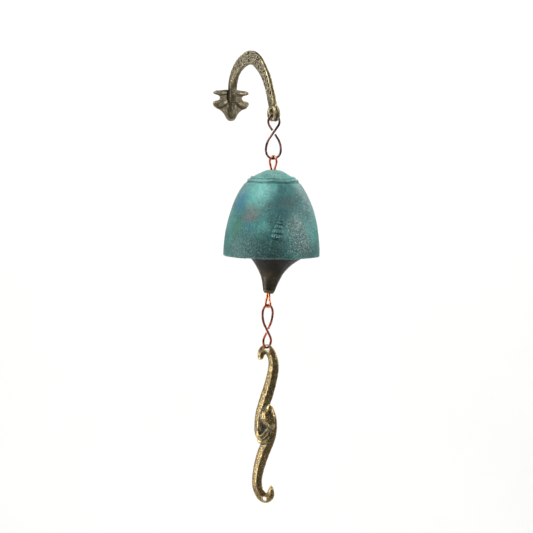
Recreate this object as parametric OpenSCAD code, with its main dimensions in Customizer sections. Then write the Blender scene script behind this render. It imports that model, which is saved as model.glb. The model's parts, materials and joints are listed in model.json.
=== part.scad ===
// Hanging bronze bell: a leaf-shaped wall bracket, wire links, the bell, its clapper and a cast pull.
// The bracket's back lies in the plane y = 0 and the bell hangs in front of it, on the -Y side.
// The origin is the middle of the wall plate's back face, and +Z is up.

/* [Wire] */
// Diameter of the copper wire that every link and loop is bent from
wire_d = 2.6; // [2.2:0.1:2.6]
// Air left between two wires, or a wire and a hole, where one hangs on the other
slack = 0.15; // [0.1:0.05:0.3]

/* [Bracket] */
// Distance from the wall to the bell's plumb line
reach = 104; // [100:1:110]
// Thickness of the wall plate
plate_t = 4; // [3:0.5:5]
// Radius of the two open screw notches in the plate's sides
notch_r = 3.6; // [3:0.1:3.8]
// Distance between the centres of the two screw notches
notch_gap = 37; // [36:0.5:38]
// Radius of the eye's bore, which the upper link hangs in
eye_r = 4.7; // [4.5:0.1:5]
// Thickness of the eye, along its bore
eye_t = 8; // [7:0.5:9]

/* [Links] */
// Bend radius of a link's small loop, at the middle of the wire
small_r = 7.4; // [7:0.1:8]
// Bend radius of a link's large loop, at the middle of the wire
large_r = 9.8; // [9:0.1:10.5]
// Angle between the plumb line and the strands where they cross
strand_lean = 38; // [34:1:42]
// Turn of the lower link about the plumb line
lower_turn = 24; // [0:1:40]

/* [Bell] */
// Outer diameter of the mouth
mouth_d = 110; // [106:1:114]
// Height of the curved body, from the rim to the shoulder
body_h = 82; // [80:0.5:83]
// Thickness of the cast wall
wall = 4.5; // [3.5:0.5:5]
// Turn of the shell relief about the plumb line
relief_turn = -23; // [-90:1:90]

/* [Clapper] */
// Radius of the striking edge
strike_r = 35; // [32:0.5:36]
// Height of the flare, from the tip to the striking edge
flare_h = 45; // [43:1:46]
// Tilt of the casting on its wire
clapper_tilt = 8.5; // [7:0.5:9]
// Lean of the clapper's wire from the plumb line
wire_lean = 1.5; // [1:0.1:2]

/* [Pull] */
// Radius of the hole at each end of the pull
pull_hole_r = 3; // [2.9:0.1:3.2]
// Thickness of the pull at its holes
pull_t = 6; // [5:0.5:6]
// Turn of the pull about the plumb line
pull_turn = -44; // [-60:1:-30]

/* [Hidden] */

wire_r = wire_d / 2;
hook = wire_d + slack;      // from the middle of one wire to the middle of the wire that it hangs on
cut = 1;                    // overshoot of a cutting shape
wire_sides = 12;
bend_step = 12;             // most that one facet of a bend turns
seam = 0.4;                 // gap where the two ends of a closed wire meet
turn_sides = 96;

// Link: a figure eight whose main strand runs right through, with both ends stopping beside it.
side_r = 22;                                            // bend of the large loop's long sides
small_run = small_r / tan(strand_lean);                 // strand from the crossing to the small loop
large_run = (large_r - side_r * (1 - cos(strand_lean))) / sin(strand_lean);
end_gap = (wire_d + slack + wire_r * cos(2 * strand_lean)) / sin(2 * strand_lean);
small_h = small_r / sin(strand_lean) + small_r;         // from the crossing to the small loop's end
large_h = large_run * cos(strand_lean) + side_r * sin(strand_lean) + large_r;
link_h = small_h + large_h;

// Crown wire: a loop above the crown, two legs through it and a loop below it.
crown_turn = -75;           // turn of the crown wire about the plumb line
crown_leg = 2;              // from the plumb line to the middle of a leg
crown_eye = [5.5, 20, 4];   // loop radius, spread of its sides, radius of the bends into the legs
hanger_eye = [5, 40, 3];

// Clapper wire: its legs make a quarter turn on the way down, from one loop's plane to the other's.
clapper_leg = 1.6;
top_eye = [4.4, 25, 4];
tail_eye = [3.9, 15, 4];
twist_lean = 6;             // slope of the legs while they cross over
twist_r = 20;
twist_run = (clapper_leg * sqrt(2) - 2 * twist_r * (1 - cos(twist_lean))) / sin(twist_lean);
twist_h = 2 * twist_r * sin(twist_lean) + twist_run * cos(twist_lean);
upper_leg_l = 20;
lower_leg_l = 68.6;
tip_clear = 2.4;            // straight wire below the clapper's tip

// Bell section, as heights above the rim.
arch_h = mouth_d * 0.927;   // the outside is a quarter of an ellipse, cut off at the shoulder
ceiling_h = body_h + 8;
hollow_h = ceiling_h + 4;
ring_h = body_h + 4;        // middle of the lower crown ring
ring_r = 26.2;
ring_bead = 2.2;
dome_foot = body_h + 9.6;
dome_r = 22;
dome_rise = 6.4;
crown_hole_r = crown_leg + wire_r + 0.3;
washer_t = 1.5;
washer_r = 9;
play = 0.05;                // air on each face of the washer

// Heights of the hanging chain, each worked out from the one above it.
eye_wire_z = -12;                                       // wire of the upper link, in the eye
eye_z = eye_wire_z + eye_r - wire_r - slack - sag(small_r, eye_t / 2 - 1);
link_low_z = eye_wire_z - link_h;
crown_top_z = link_low_z + hook;
rim_z = crown_top_z - eye_h(crown_eye, crown_leg) - dome_foot - dome_rise + 0.55;
washer_top_z = rim_z + ceiling_h - play;
hanger_z = washer_top_z - washer_t - play - eye_h(hanger_eye, crown_leg);
clapper_top_z = hanger_z + hook;
wire_l = eye_h(top_eye, clapper_leg) + upper_leg_l + twist_h + lower_leg_l + eye_h(tail_eye, clapper_leg);
tip_z = clapper_top_z - wire_l + eye_h(tail_eye, clapper_leg) + tip_clear;
tail_x = -wire_l * sin(wire_lean);
tail_z = clapper_top_z - wire_l * cos(wire_lean);
lower_top_z = tail_z + hook;
lower_low_z = lower_top_z - link_h;
pull_z = lower_low_z - 0.65;                            // middle of the pull's upper hole

// How far a bend of radius r has fallen at distance x from its crest.
function sag(r, x) = r - sqrt(r * r - x * x);

// Straight side of a loop, and the height from its crest to where its legs run parallel.
function eye_run(e, leg) = (e[0] * cos(e[1]) - leg - e[2] * (1 - cos(e[1]))) / sin(e[1]);
function eye_h(e, leg) = e[0] + (e[0] + e[2]) * sin(e[1]) + eye_run(e, leg) * cos(e[1]);

// Half of a loop, as moves of route(): from its crest to a leg, and from a leg to its crest.
function half_eye(e, leg) = [[0, e[0], -90 - e[1], 0], [eye_run(e, leg), e[2], e[1], 0]];
function half_eye_back(e, leg, run, roll) =
    [[run, e[2], e[1], roll], [eye_run(e, leg), e[0], -90 - e[1], 0]];

// Catmull-Rom curve through a list of points, n steps to a span.
function span(a, b, c, d, t) =
    (2 * b + (c - a) * t + (2 * a - 5 * b + 4 * c - d) * t * t + (3 * b - a - 3 * c + d) * t * t * t) / 2;
function smooth(p, n) = [
    for (i = [0 : len(p) - 2], k = [0 : n - 1])
        span(p[max(i - 1, 0)], p[i], p[i + 1], p[min(i + 2, len(p) - 1)], k / n),
    p[len(p) - 1]];

// Point on a rounded rectangle of unit half-sizes; a smaller power gives squarer corners.
function rounded(v, power) = sign(v) * pow(abs(v), power);

// Vector v turned about the unit vector u.
function turned(v, u, angle) = v * cos(angle) + cross(u, v) * sin(angle) + u * (u * v) * (1 - cos(angle));

// Places [point, heading, left, side] along a list of moves [run, radius, angle, roll]: a straight run,
// then a bend to the left, or to the right where the angle is negative, in a plane rolled about the
// heading. The side vector is carried along without twisting, and the rings of a wire start from it.
function route(moves, at, i = 0) = i == len(moves) ? [] :
    let (run = moves[i][0],
         angle = moves[i][2],
         way = at[1],
         from = at[0] + run * way,
         left = turned(at[2], way, moves[i][3]),
         axis = cross(way, left),
         middle = from + sign(angle) * moves[i][1] * left,
         steps = ceil(abs(angle) / bend_step),
         places = [for (k = [run > 0 ? 0 : 1 : 1 : steps])
             let (a = steps > 0 ? angle * k / steps : 0)
             [middle + turned(from - middle, axis, a), turned(way, axis, a),
              turned(left, axis, a), turned(at[3], axis, a)]])
    concat(places, route(moves, places[len(places) - 1], i + 1));

// Round wire bent along the moves, from a point and a heading, with its first bend's left side given.
module wire(moves, point, way, left) {
    start = [point, way, left, left];
    places = concat([start], route(moves, start));
    tube([for (s = places) for (k = [0 : wire_sides - 1])
        s[0] + wire_r * (cos(360 * k / wire_sides) * s[3] + sin(360 * k / wire_sides) * cross(s[1], s[3]))],
        wire_sides);
}

// Closed solid through rings of points, with flat ends.
module tube(points, sides) {
    last = len(points) / sides - 1;
    walls = [for (i = [0 : last - 1], k = [0 : sides - 1])
        let (a = i * sides + k, b = i * sides + (k + 1) % sides)
        each [[a, a + sides, b], [b, a + sides, b + sides]]];
    caps = [[for (k = [0 : sides - 1]) k],
            [for (k = [sides - 1 : -1 : 0]) last * sides + k]];
    polyhedron(points, concat(walls, caps), convexity = 6);
}

// Solid swept along a flat curve of stations [x, z, width, depth]; depth is measured along Y.
module swept(stations, sides, power) {
    last = len(stations) - 1;
    rings = [for (i = [0 : last])
        let (ahead = stations[min(i + 1, last)] - stations[max(i - 1, 0)],
             way = [ahead[0], ahead[1]] / norm([ahead[0], ahead[1]]),
             s = stations[i])
        for (k = [0 : sides - 1])
            let (a = 360 * (k + 0.5) / sides,
                 across = s[2] / 2 * rounded(cos(a), power),
                 deep = s[3] / 2 * rounded(sin(a), power))
            [s[0] + way[1] * across, deep, s[1] - way[0] * across]];
    tube(rings, sides);
}

// ---- Bracket: one casting, a leaf-shaped plate with an arched arm that ends in an eye ----

// Middle line of the arm as [distance from the wall, height, depth of section, thickness].
arm_line = [
    [4.4, 8, 8, 9], [4.9, 24, 9, 9.5], [9.4, 35, 10, 9], [17, 44.5, 12, 8.5], [29, 51.5, 13.5, 8],
    [43, 55.5, 15, 7.5], [56, 54.5, 15, 7.2], [68, 48.5, 14.5, 7], [78, 40, 13, 6.8],
    [86, 30, 11.5, 6.6], [92.5, 19, 10.5, 6.6], [97.5, 8, 10.5, 7], [101, -1, 12, 7.4],
    [103, -8, 13, 7.6]];
arm_scale = (reach - 4) / 100;

module leaf() {
    upper = [20.5, 13];
    lower = [20.5, 1];
    hull() for (side = [-1, 1]) {
        translate([side * upper.x, upper.y]) circle(r = 3, $fn = 32);
        translate([side * lower.x, lower.y]) circle(r = 3.5, $fn = 32);
    }
    hull() {
        for (side = [-1, 1]) translate([side * (lower.x - 2), lower.y - 1]) circle(r = 3, $fn = 32);
        translate([0, -13]) circle(r = 5.5, $fn = 32);
    }
}

module screw_notch() {
    rotate([90, 0, 0]) {
        translate([0, 0, -cut]) cylinder(r = notch_r, h = plate_t + 2 * cut, $fn = 64);
        translate([0, -notch_r, -cut]) cube([10, 2 * notch_r, plate_t + 2 * cut]);
    }
}

module eye_bore() {
    chamfer = 1;
    for (side = [0, 180]) rotate([0, 90, side]) {
        cylinder(r = eye_r, h = eye_t, $fn = 64);
        translate([0, 0, eye_t / 2 - chamfer])
            cylinder(r1 = eye_r, r2 = eye_r + 2 * chamfer, h = 2 * chamfer, $fn = 64);
    }
}

module bracket() {
    color("#6f6146") difference() {
        union() {
            rotate([90, 0, 0]) linear_extrude(plate_t) leaf();
            hull() {
                translate([0, -plate_t, 15]) sphere(r = 2.6, $fn = 32);
                translate([0, -plate_t, -12]) sphere(r = 1.6, $fn = 32);
            }
            rotate([0, 0, -90]) swept([for (s = smooth(arm_line, 3))
                [4 + (s[0] - 4) * arm_scale, s[1], s[2], s[3]]], 16, 0.75);
            translate([-eye_t / 2, -reach + 0.8, eye_z - 0.8]) rotate([0, 90, 0])
                cylinder(r = 9.2, h = eye_t, $fn = 64);
        }
        for (side = [0, 180]) translate([0, 0, 8]) rotate([0, side, 0])
            translate([notch_gap / 2, 0, 0]) screw_notch();
        translate([0, -reach, eye_z]) eye_bore();
    }
}

// ---- Links ----

// Link in the XZ plane, its small loop uppermost and the crest of that loop's wire at the origin.
module figure_eight() {
    up_left = [-sin(strand_lean), 0, cos(strand_lean)];
    down_left = [-cos(strand_lean), 0, -sin(strand_lean)];
    wire([[small_run - end_gap, small_r, -180 - 2 * strand_lean, 0],
          [small_run + large_run, side_r, strand_lean, 0],
          [0, large_r, 180, 0],
          [0, side_r, strand_lean, 0],
          [large_run - end_gap, 0, 0, 0]],
        [0, 0, -small_h] + end_gap * up_left, up_left, down_left);
}

module upper_link() {
    color("#4a3029") translate([0, -reach, eye_wire_z]) figure_eight();
}

module lower_link() {
    color("#7a3a26") translate([tail_x, -reach, lower_low_z]) rotate([0, 0, lower_turn])
        rotate([180, 0, 0]) figure_eight();
}

// ---- Crown wire and its washer ----

// The wire's ends meet inside the crown, halfway down one leg.
module crown_wire() {
    legs = crown_top_z - eye_h(crown_eye, crown_leg) - hanger_z - eye_h(hanger_eye, crown_leg);
    color("#c07850") translate([0, -reach, hanger_z + eye_h(hanger_eye, crown_leg)])
        rotate([0, 0, crown_turn]) wire(concat(
            half_eye_back(hanger_eye, crown_leg, legs / 2, 0),
            half_eye(hanger_eye, crown_leg),
            half_eye_back(crown_eye, crown_leg, legs, 0),
            half_eye(crown_eye, crown_leg),
            [[legs / 2 - seam, 0, 0, 0]]),
        [crown_leg, 0, legs / 2], [0, 0, -1], [1, 0, 0]);
}

module crown_washer() {
    color("#b08a4a") translate([0, -reach, washer_top_z - washer_t]) difference() {
        cylinder(r = washer_r, h = washer_t, $fn = 64);
        translate([0, 0, -cut]) cylinder(r = crown_hole_r, h = washer_t + 2 * cut, $fn = 64);
    }
}

// ---- Bell ----

function bell_r(h) = mouth_d / 2 * sqrt(1 - pow(h / arch_h, 2));
function hollow_r(h) = (mouth_d / 2 - wall) * sqrt(1 - pow(h / hollow_h, 2));
function bead(r, h, size, from, to, steps) = [
    for (k = [0 : steps]) let (a = from + (to - from) * k / steps) [r + size * cos(a), h + size * sin(a)]];

module bell_body() {
    lip = 1.4;
    steps = 20;
    outside = [for (k = [0 : steps]) let (h = lip + (body_h - lip) * k / steps) [bell_r(h), h]];
    inside = [for (k = [0 : steps]) let (h = ceiling_h - (ceiling_h - lip) * k / steps) [hollow_r(h), h]];
    dome = [for (k = [1 : 7]) let (r = dome_r * (1 - k / 9)) [r, dome_foot + dome_rise * cos(90 * r / dome_r)]];
    rotate_extrude($fn = turn_sides) polygon(concat(
        [[hollow_r(0) + lip, 0], [mouth_d / 2 - lip, 0]],
        outside,
        bead(ring_r, ring_h, ring_bead, -40, 60, 5),
        bead(ring_r - 2.9, ring_h + 3.9, ring_bead - 0.3, -30, 80, 5),
        dome,
        [[crown_hole_r, dome_foot + dome_rise - 1], [crown_hole_r, ceiling_h]],
        inside));
}

// Raised turret shell: ribs that shorten towards the tip.
module shell_relief() {
    ribs = 6;
    low = 24;
    for (k = [0 : ribs - 1]) {
        h = low + 3.6 * k + 1.2;
        half = 7.2 * (1 - k / (ribs + 0.6));
        translate([k * 0.5 - half, -bell_r(h) + 0.5, h]) rotate([0, 90, 0])
            cylinder(r = 1.9 - 0.18 * k, h = 2 * half, $fn = 32);
    }
}

module bell() {
    color("#4f9a94") translate([0, -reach, rim_z]) {
        bell_body();
        rotate([0, 0, relief_turn]) shell_relief();
    }
}

// ---- Clapper and its wire ----

// Its ends meet inside the clapper.
module clapper_wire() {
    hidden_l = 20;
    cross_over = [[twist_run, twist_r, -twist_lean, 0]];
    color("#b8704a") translate([0, -reach, clapper_top_z]) rotate([0, wire_lean, 0])
        rotate([0, 0, crown_turn]) wire(concat(
            half_eye_back(tail_eye, clapper_leg, hidden_l, 0),
            half_eye(tail_eye, clapper_leg),
            [[lower_leg_l, twist_r, twist_lean, 135]], cross_over,
            half_eye_back(top_eye, clapper_leg, upper_leg_l, -45),
            half_eye(top_eye, clapper_leg),
            [[upper_leg_l, twist_r, twist_lean, 135]], cross_over,
            [[lower_leg_l - hidden_l - seam, 0, 0, 0]]),
        [clapper_leg, 0, eye_h(tail_eye, clapper_leg) + hidden_l - wire_l], [0, 0, -1], [1, 0, 0]);
}

// Radius of the clapper's flare, t from 0 at the tip to 1 at the striking edge.
function flare_r(t) = 6 + (strike_r - 7) * (0.36 * t + 0.64 * pow(t, 3));

module clapper_body() {
    neck = 2;
    core_r = clapper_leg + wire_r + 0.6;
    steps = 14;
    top_h = flare_h + 8;
    flare = [for (k = [0 : steps]) let (h = neck + (flare_h - neck) * k / steps) [flare_r(h / flare_h), h]];
    rotate_extrude($fn = turn_sides) polygon(concat(
        [[core_r, 0], [4.8, 0.2], [5.6, 0.9]],
        flare,
        bead(strike_r - 2, flare_h + 1.8, 2, -20, 80, 5),
        [[14, flare_h + 6.4], [11.5, top_h], [9.8, top_h], [core_r, 6]]));
}

module clapper() {
    color("#3c3830") translate([0, -reach, clapper_top_z]) rotate([0, wire_lean, 0])
        translate([0, 0, tip_z - clapper_top_z]) rotate([0, clapper_tilt - wire_lean, 0]) clapper_body();
}

// ---- Pull: one casting, two crooks whose shanks knot together in the middle ----

// Middle line of the upper crook, measured from its hole, as [x, z, width, depth].
crook_line = [
    [-6.3, -12.4, 4, 3], [-6.6, -9.6, 6.6, 5], [-6, -5.4, 8, pull_t], [-2.6, -1.9, 10.4, pull_t],
    [2.2, -2.2, 11.4, pull_t], [6.2, -7.4, 10.4, 7], [8.2, -14, 10.6, 8], [8.4, -24, 11.4, 9],
    [6, -38, 12.4, 9.5], [1.6, -54, 13.2, 10], [-2.4, -68, 13, 10], [-5, -80, 12.6, 10],
    [-5.4, -92, 12, 10], [-3.4, -101.5, 10, 9], [0.6, -106, 6, 6]];
knot = [0.45, -87.5];

module crook() {
    swept(smooth(crook_line, 3), 12, 0.85);
}

module pull_hole() {
    chamfer = 1.4;
    for (side = [-90, 90]) rotate([side, 0, 0]) {
        cylinder(r = pull_hole_r, h = pull_t, $fn = 48);
        translate([0, 0, pull_t / 2 - chamfer])
            cylinder(r1 = pull_hole_r, r2 = pull_hole_r + 2 * chamfer, h = 2 * chamfer, $fn = 48);
    }
}

// Draws its children, and again turned half round about the knot.
module both_ends() {
    children();
    translate([2 * knot.x, 0, 2 * knot.y]) rotate([0, 180, 0]) children();
}

module pull() {
    boss_r = 9;
    color("#8c7341") translate([tail_x, -reach, pull_z]) rotate([0, 0, pull_turn]) difference() {
        union() {
            both_ends() crook();
            translate([knot.x, 0, knot.y]) rotate([90, 0, 0])
                cylinder(r = boss_r, h = 8, center = true, $fn = 48);
        }
        both_ends() pull_hole();
    }
}

bracket();
upper_link();
crown_wire();
crown_washer();
bell();
clapper_wire();
clapper();
lower_link();
pull();
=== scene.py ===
"""Looks of the hanging bell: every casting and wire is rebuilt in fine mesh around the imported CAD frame.

Lengths are in millimetres until a mesh is made, and the axes are the CAD's: +Z up, +Y into the wall.
"""

import json
import math

import bpy
import numpy as np
from mathutils import Matrix, Vector


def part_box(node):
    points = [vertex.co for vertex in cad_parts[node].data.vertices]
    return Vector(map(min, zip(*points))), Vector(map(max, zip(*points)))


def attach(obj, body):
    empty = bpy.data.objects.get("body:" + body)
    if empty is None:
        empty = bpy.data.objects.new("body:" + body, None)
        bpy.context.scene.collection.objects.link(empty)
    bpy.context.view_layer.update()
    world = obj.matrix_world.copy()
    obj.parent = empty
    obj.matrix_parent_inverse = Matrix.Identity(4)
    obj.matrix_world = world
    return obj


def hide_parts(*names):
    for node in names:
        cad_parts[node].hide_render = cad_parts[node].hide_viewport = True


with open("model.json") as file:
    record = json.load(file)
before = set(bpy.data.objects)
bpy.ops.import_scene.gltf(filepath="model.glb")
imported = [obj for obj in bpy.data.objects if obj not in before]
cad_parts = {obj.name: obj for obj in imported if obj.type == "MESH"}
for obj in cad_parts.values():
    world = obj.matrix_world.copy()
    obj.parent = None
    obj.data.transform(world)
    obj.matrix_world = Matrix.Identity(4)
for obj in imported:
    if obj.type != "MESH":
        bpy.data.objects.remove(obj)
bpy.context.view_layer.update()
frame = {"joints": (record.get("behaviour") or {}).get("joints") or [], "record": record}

MM = 0.001


def places(rows):
    """Place in millimetres and axis of each joint or mount, by name."""
    return {row["name"]: (np.array(row["pos_m"]) * 1000, np.array(row["axis"], float)) for row in rows}


JOINT = places(frame["joints"])
MOUNT = places(frame["record"]["mounts"])


def turn_of(joint):
    """Turn about the plumb line of a joint's level axis, in degrees."""
    axis = JOINT[joint][1]
    return math.degrees(math.atan2(axis[1], axis[0]))


PLUMB = JOINT["link_swing"][0] * [1, 1, 0]  # the line that the bell hangs on, at height 0
RIM_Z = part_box("bell")[0].z / MM
MOUTH_R = (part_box("bell")[1].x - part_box("bell")[0].x) / MM / 2
VIEW_TURN = -30.0  # turn about that line of the side that the main view looks at
BODY_H = 82.0  # the bell's wall, from its rim to the rings of the crown
ARCH_H = MOUTH_R * 2 * 0.927  # height at which the wall's ellipse would close


def bell_r(h):
    """Radius of the bell's wall at a height above its rim."""
    return MOUTH_R * np.sqrt(1 - (np.asarray(h, float) / ARCH_H) ** 2)


# ---- small maths

rng = np.random.default_rng(11)
PERM = rng.permutation(256)
GRADIENT = rng.normal(size=(256, 3))
GRADIENT /= np.linalg.norm(GRADIENT, axis=1)[:, None]
JITTER = rng.random((256, 4))
UP = np.array([0.0, 0.0, 1.0])
NOISE_GAIN = 1.7  # brings the noise to about -1 to 1
OCTAVE_SHIFT = 7.3  # keeps the finer noise from lining up with the coarser
SMOOTH_STEPS = (0.55, -0.57)  # inwards, then slightly further outwards, so that the volume stays


def hashed(i, j, k):
    """A number from 0 to 255 that belongs to a cell."""
    return PERM[(PERM[(PERM[i & 255] + j) & 255] + k) & 255]


def noise(p):
    """Smooth noise, about -1 to 1, at points p in cells of 1."""
    cell = np.floor(p).astype(int)
    f = p - cell
    fade = f * f * f * (f * (f * 6 - 15) + 10)
    total = np.zeros(len(p))
    for corner in np.ndindex(2, 2, 2):
        g = GRADIENT[hashed(*(cell + corner).T)]
        weight = np.where(np.array(corner) == 1, fade, 1 - fade).prod(1)
        total += weight * (g * (f - corner)).sum(1)
    return total * NOISE_GAIN


def layers(p, size, octaves=3, gain=0.5):
    """Noise of cell size `size` mm, with finer noise on top."""
    return sum(noise(p / size * 2 ** o + OCTAVE_SHIFT * o) * gain ** o for o in range(octaves))


def cells(p, size):
    """Distance to the nearest of scattered points, in cells, and that point's own random number."""
    q = p / size
    cell = np.floor(q).astype(int)
    best = np.full(len(p), 9.0)
    own = np.zeros(len(p))
    for step in np.ndindex(3, 3, 3):
        c = cell + np.array(step) - 1
        j = JITTER[hashed(*c.T)]
        d = np.linalg.norm(q - c - j[:, :3], axis=1)
        own = np.where(d < best, j[:, 3], own)
        best = np.minimum(best, d)
    return best, own


def ease(x, low, high):
    """0 at low and 1 at high, smooth between; low may be the larger one."""
    t = np.clip((np.asarray(x, float) - low) / (high - low), 0, 1)
    return t * t * (3 - 2 * t)


def bump_at(x, middle, width):
    """1 at the middle, fading out over about twice the width."""
    return np.exp(-((np.asarray(x, float) - middle) / width) ** 2)


def spin(v, axis, degrees):
    """v turned about a unit axis."""
    a = math.radians(degrees)
    v = np.asarray(v, float)
    return (v * math.cos(a) + np.cross(axis, v) * math.sin(a)
            + np.outer(v @ axis, axis).reshape(v.shape) * (1 - math.cos(a)))


def stirred(p, size, amount, shifts):
    """Points moved about by noise, for cells of uneven shapes."""
    return p + amount * np.stack([noise(p / size + shift) for shift in shifts], 1)


def curve(points, step):
    """Catmull-Rom curve through rows of numbers whose first three are a place, about `step` apart."""
    p = np.asarray(points, float)
    p = np.vstack([2 * p[0] - p[1], p, 2 * p[-1] - p[-2]])
    out = []
    for a, b, c, d in zip(p, p[1:], p[2:], p[3:]):
        n = max(2, int(np.linalg.norm((c - b)[:3]) / step))
        for t in np.arange(n) / n:
            out.append((2 * b + (c - a) * t + (2 * a - 5 * b + 4 * c - d) * t ** 2
                        + (3 * b - a - 3 * c + d) * t ** 3) / 2)
    return np.array(out + [p[-2]])


# ---- mesh shapes: (points, faces)

def bands(n, m):
    """Faces between n closed rings of m points."""
    return [(i * m + k, i * m + (k + 1) % m, (i + 1) * m + (k + 1) % m, (i + 1) * m + k)
            for i in range(n - 1) for k in range(m)]


def loft(rings):
    """Closed skin over an array of rings, with a fan over each end."""
    n, m, _ = rings.shape
    faces = bands(n, m)
    first, last = n * m, n * m + 1
    faces += [(first, (k + 1) % m, k) for k in range(m)]
    faces += [(last, (n - 1) * m + k, (n - 1) * m + (k + 1) % m) for k in range(m)]
    return np.vstack([rings.reshape(-1, 3), rings[0].mean(0), rings[-1].mean(0)]), faces


def revolve(outline, columns):
    """A closed outline of [radius, height] turned about Z."""
    a = np.arange(columns) * 2 * math.pi / columns
    p = np.asarray(outline, float)
    n = len(p)
    points = np.stack([np.outer(np.cos(a), p[:, 0]), np.outer(np.sin(a), p[:, 0]),
                       np.tile(p[:, 1], (columns, 1))], 2).reshape(-1, 3)
    faces = []
    for i in range(columns):
        here, beyond = i * n, (i + 1) % columns * n
        faces += [(here + k, beyond + k, beyond + (k + 1) % n, here + (k + 1) % n) for k in range(n)]
    return points, faces


def even(outline, step):
    """A closed outline with points about `step` apart, its corners kept."""
    p = np.asarray(outline, float)
    out = []
    for a, b in zip(p, np.roll(p, -1, 0)):
        n = max(1, int(round(np.linalg.norm(b - a) / step)))
        out += [a + (b - a) * k / n for k in range(n)]
    return np.array(out)


def frames(path, side):
    """Headings and side vectors along a path, the side carried along without twisting."""
    way = np.gradient(path, axis=0)
    way /= np.linalg.norm(way, axis=1)[:, None]
    sides = []
    for w in way:
        side = side - w * (side @ w)
        side = side / np.linalg.norm(side)
        sides.append(side)
    sides = np.array(sides)
    return way, sides, np.cross(way, sides)


def sweep(stations, side, section):
    """Skin along rows of [x, y, z, half width, half depth]; side is where the width points at the start."""
    line = curve(stations, 1.0)
    path, width, depth = line[:, :3], line[:, 3], line[:, 4]
    _, sides, ups = frames(path, np.array(side, float))
    rings = (path[:, None] + sides[:, None] * (width[:, None] * section[:, 0])[..., None]
             + ups[:, None] * (depth[:, None] * section[:, 1])[..., None])
    return loft(rings)


def join(*shapes):
    points, faces, base = [], [], 0
    for p, f in shapes:
        points.append(p)
        faces += [tuple(i + base for i in face) for face in f]
        base += len(p)
    return np.vstack(points), faces


def add_object(name, data):
    obj = bpy.data.objects.new(name, data)
    bpy.context.scene.collection.objects.link(obj)
    return obj


def new_mesh(name, shape):
    """A Blender mesh, in metres, of a shape in millimetres."""
    mesh = bpy.data.meshes.new(name)
    mesh.from_pydata((shape[0] * MM).tolist(), [], shape[1])
    mesh.update()
    return mesh


def read_mesh(mesh):
    co = np.zeros(len(mesh.vertices) * 3)
    mesh.vertices.foreach_get("co", co)
    return co.reshape(-1, 3) / MM, [tuple(p.vertices) for p in mesh.polygons]


def modified(shape, kind, **settings):
    """A shape after one Blender modifier."""
    obj = add_object("work", new_mesh("work", shape))
    modifier = obj.modifiers.new("work", kind)
    for key, value in settings.items():
        setattr(modifier, key, value)
    done = bpy.data.meshes.new_from_object(obj.evaluated_get(bpy.context.evaluated_depsgraph_get()))
    bpy.data.objects.remove(obj)
    return read_mesh(done)


def fused(shape, voxel):
    """Overlapping closed skins made into one skin."""
    return modified(shape, "REMESH", mode="VOXEL", voxel_size=voxel * MM, adaptivity=0.0)


def bored(shape, cutter):
    """A shape with another one cut out of it."""
    tool = add_object("cutter", new_mesh("cutter", cutter))
    done = modified(shape, "BOOLEAN", operation="DIFFERENCE", solver="EXACT", object=tool)
    bpy.data.objects.remove(tool)
    return done


class Skin:
    """A mesh's points with their neighbours, for smoothing, displacing and measuring its hollows."""

    def __init__(self, shape):
        self.co, self.faces = np.array(shape[0], float), shape[1]
        loops = np.array([(a, b) for f in self.faces for a, b in zip(f, f[1:] + f[:1])])
        self.edges = np.unique(np.sort(loops, axis=1), axis=0)
        self.count = np.bincount(self.edges.ravel(), minlength=len(self.co)).astype(float)

    def around(self, values):
        """Mean of the values of each point's neighbours."""
        a, b = self.edges.T
        flat = values.reshape(len(values), -1)
        total = np.stack([np.bincount(a, c[b], len(self.co)) + np.bincount(b, c[a], len(self.co))
                          for c in flat.T], 1) / self.count[:, None]
        return total.reshape(values.shape)

    def smooth(self, times):
        """Smoothing that keeps the volume."""
        for _ in range(times):
            for step in SMOOTH_STEPS:
                self.co += step * (self.around(self.co) - self.co)

    def normals(self):
        mesh = new_mesh("work", (self.co, self.faces))
        n = np.zeros(len(self.co) * 3)
        mesh.vertices.foreach_get("normal", n)
        bpy.data.meshes.remove(mesh)
        return n.reshape(-1, 3)

    def push(self, amount):
        self.co += self.normals() * np.asarray(amount)[:, None]

    def curvature(self, spread):
        """Positive in hollows and negative on edges, in 1/mm, averaged over `spread` rounds of neighbours."""
        a, b = self.edges.T
        length = np.linalg.norm(self.co[a] - self.co[b], axis=1)
        spacing = (np.bincount(a, length, len(self.co)) + np.bincount(b, length, len(self.co))) / self.count
        bend = ((self.around(self.co) - self.co) * self.normals()).sum(1) / spacing ** 2 * 2
        for _ in range(spread):
            bend = 0.5 * bend + 0.5 * self.around(bend)
        return bend

    def piece(self, name, node, slot, look, body=None, hollow=0.35, edge=0.35, spread=3, **extra):
        """The finished piece, with what its material reads off the shape. It rides on its node's body, or on
        `body`."""
        mesh = new_mesh(name, (self.co, self.faces))
        bend = self.curvature(spread)
        readings = dict(hollow=np.clip(bend / hollow, 0, 1), edge=np.clip(-bend / edge, 0, 1), **extra)
        for key, values in readings.items():
            mesh.attributes.new(key, "FLOAT", "POINT").data.foreach_set("value", values.astype(np.float32))
        mesh.shade_smooth()
        mesh.materials.append(look)
        obj = add_object(name, mesh)
        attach(obj, body or node)
        if node:
            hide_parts(node)


# ---- materials

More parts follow.
